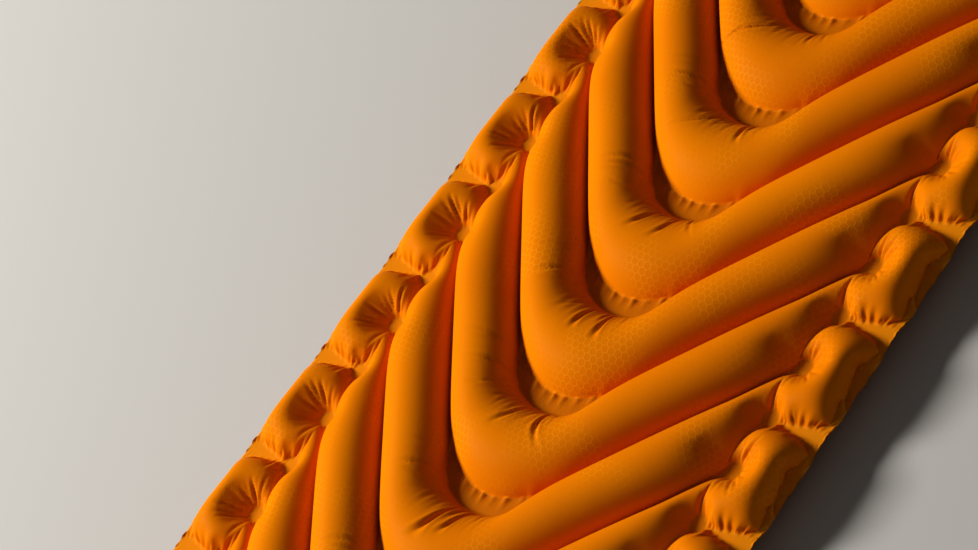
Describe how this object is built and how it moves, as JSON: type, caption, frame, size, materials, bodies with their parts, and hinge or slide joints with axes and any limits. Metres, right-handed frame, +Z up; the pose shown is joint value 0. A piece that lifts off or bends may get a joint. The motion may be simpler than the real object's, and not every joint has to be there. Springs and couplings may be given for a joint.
{
  "type": "inflatable sleeping pad",
  "caption": "Inflatable sleeping pad: two coated sheets welded into nested V-shaped air tubes with lobed side rails, and flip-cap valves at the head.",
  "frame": {"origin": "centre of the inflated pad's footprint, on the ground", "axes": "+Y towards the head end and its valves, +Z up out of the sleeping face, +X to the right seen from the foot"},
  "size_m": [0.584, 1.83, 0.0753],
  "materials": {
    "coated_fabric": "satin coated ripstop with a fine honeycomb",
    "weld_film": "translucent satin film",
    "valve_plastic": "fine moulded texture",
    "cap_plastic": "fine moulded texture",
    "silicone": "matte",
    "steel": "drawn wire"
  },
  "bodies": {
    "pad": {"top_sheet": "coated_fabric", "bottom_sheet": "coated_fabric", "inflate_flange": "weld_film", "inflate_collar": "valve_plastic", "inflate_grille": "valve_plastic", "inflate_hinge_pin": "steel", "deflate_flange": "weld_film", "deflate_collar": "valve_plastic", "deflate_grille": "valve_plastic", "deflate_hinge_pin": "steel", "inflate_flap_stem": "silicone"},
    "inflate_lid": {"inflate_cap": "cap_plastic", "inflate_cap_seal": "silicone"},
    "deflate_lid": {"deflate_cap": "cap_plastic", "deflate_cap_seal": "silicone"},
    "check_flap": {"inflate_check_flap": "silicone"}
  },
  "joints": [
    {"name": "inflate_lid_hinge", "type": "hinge", "parent": "pad", "child": "inflate_lid", "pos_m": [-0.226, 0.8255, 0.0715], "axis": [1, 0, 0], "range_deg": [0, 160]},
    {"name": "deflate_lid_hinge", "type": "hinge", "parent": "pad", "child": "deflate_lid", "pos_m": [0.226, 0.8255, 0.0715], "axis": [1, 0, 0], "range_deg": [0, 160]},
    {"name": "check_flap_slide", "type": "slide", "parent": "pad", "child": "check_flap", "axis": [0, 0, -1], "range_m": [0, 0.002], "stiffness_N_per_m": 60, "springref_m": -0.0005}
  ]
}
